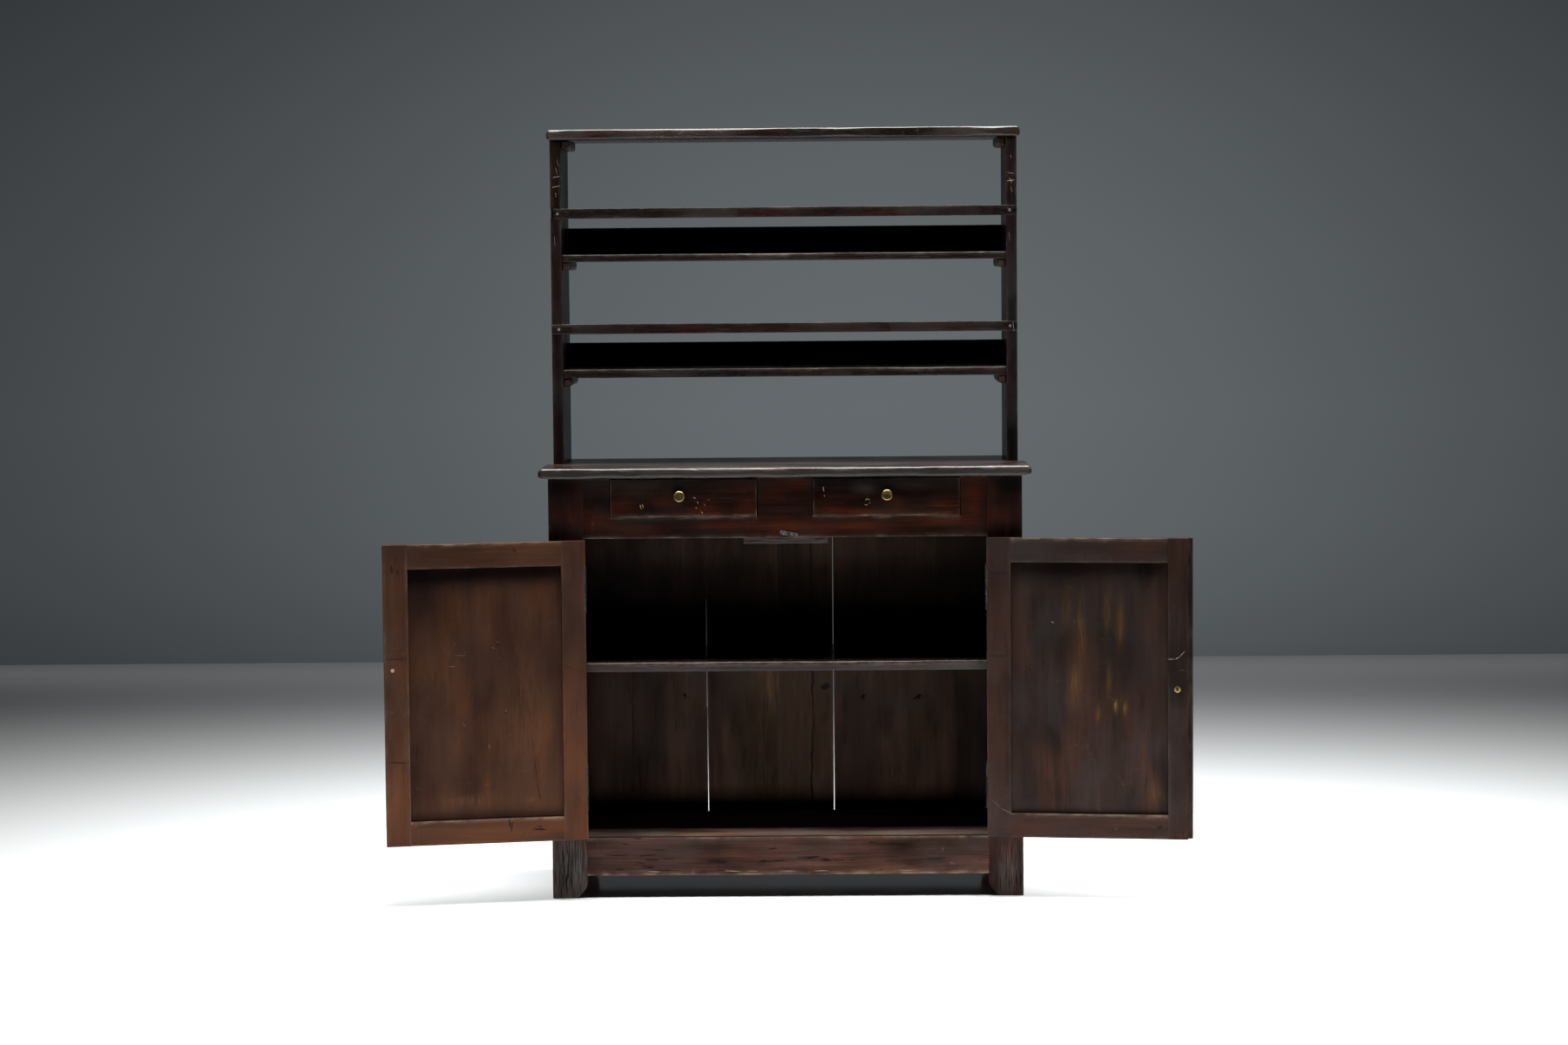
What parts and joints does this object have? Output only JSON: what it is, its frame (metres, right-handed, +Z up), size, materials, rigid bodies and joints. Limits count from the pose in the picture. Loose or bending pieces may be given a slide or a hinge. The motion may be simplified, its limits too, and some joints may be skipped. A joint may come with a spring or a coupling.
{
  "type": "plate rack dresser",
  "caption": "Stained wood dresser: open plate rack with shelves and plate rails over a worktop, drawers with brass knobs, and a cupboard with framed doors that swing open.",
  "frame": {"origin": "on the floor, at the middle of the carcase's width and depth, doors left out", "axes": "+X to the right of someone facing the doors, +Y towards the back, +Z up"},
  "size_m": [1.8784, 0.5756, 1.812],
  "materials": {
    "dark_wood": "near-black brown stain, waxed, worn arrises",
    "front_wood": "dark red-brown polish with darker and lighter patches",
    "door_wood": "brown stain, dull wax, scratched",
    "inside_wood": "dark unpolished stain, dusty",
    "iron": "dark forged iron, edges rubbed bright",
    "brass": "aged brass with a bright worn rim"
  },
  "bodies": {
    "carcase": {"left_front_post": "front_wood", "right_front_post": "front_wood", "left_side_board": "dark_wood", "right_side_board": "dark_wood", "left_upright": "dark_wood", "right_upright": "dark_wood", "apron_board": "front_wood", "bottom_rail": "front_wood", "worktop_front_board": "dark_wood", "worktop_rear_board": "dark_wood", "back_board_1": "inside_wood", "back_board_2": "inside_wood", "back_board_3": "inside_wood", "back_board_4": "inside_wood", "rear_rails": "inside_wood", "cupboard_floor": "inside_wood", "inner_shelf": "inside_wood", "inner_bearers": "inside_wood", "door_stop": "inside_wood", "drawer_runners": "inside_wood", "rack_top_board": "dark_wood", "upper_plate_rail": "dark_wood", "lower_plate_rail": "dark_wood", "upper_rack_shelf": "dark_wood", "lower_rack_shelf": "dark_wood", "upper_rack_back_rail": "dark_wood", "lower_rack_back_rail": "dark_wood", "rack_cleats": "dark_wood", "frame_hinge_leaves": "iron", "hinge_pins": "iron", "turn_button_screw": "iron"},
    "left_door": {"left_door_hinge_stile": "door_wood", "left_door_meeting_stile": "door_wood", "left_door_top_rail": "door_wood", "left_door_bottom_rail": "door_wood", "left_door_panel": "door_wood", "left_door_hinge_leaves": "iron"},
    "right_door": {"right_door_hinge_stile": "door_wood", "right_door_meeting_stile": "door_wood", "right_door_top_rail": "door_wood", "right_door_bottom_rail": "door_wood", "right_door_panel": "door_wood", "right_door_hinge_leaves": "iron", "right_door_knob": "brass", "right_door_nut": "brass"},
    "left_drawer": {"left_drawer_front": "front_wood", "left_drawer_sides": "inside_wood", "left_drawer_back": "inside_wood", "left_drawer_bottom": "inside_wood", "left_drawer_knob": "brass"},
    "right_drawer": {"right_drawer_front": "front_wood", "right_drawer_sides": "inside_wood", "right_drawer_back": "inside_wood", "right_drawer_bottom": "inside_wood", "right_drawer_knob": "brass"},
    "turn_button": {"turn_button": "iron"}
  },
  "joints": [
    {"name": "left_door_hinge", "type": "hinge", "parent": "carcase", "child": "left_door", "pos_m": [-0.4722, -0.2269, 0.4965], "axis": [0, 0, 1], "range_deg": [-10, 168]},
    {"name": "right_door_hinge", "type": "hinge", "parent": "carcase", "child": "right_door", "pos_m": [0.4722, -0.2269, 0.4965], "axis": [0, 0, 1], "range_deg": [-172, 6]},
    {"name": "left_drawer_slide", "type": "slide", "parent": "carcase", "child": "left_drawer", "axis": [0, -1, 0], "range_m": [0, 0.26]},
    {"name": "right_drawer_slide", "type": "slide", "parent": "carcase", "child": "right_drawer", "axis": [0, -1, 0], "range_m": [0, 0.26]},
    {"name": "turn_button_pivot", "type": "hinge", "parent": "carcase", "child": "turn_button", "pos_m": [0.009, -0.2215, 0.859], "axis": [0, -1, 0], "range_deg": [-80, 100]}
  ]
}
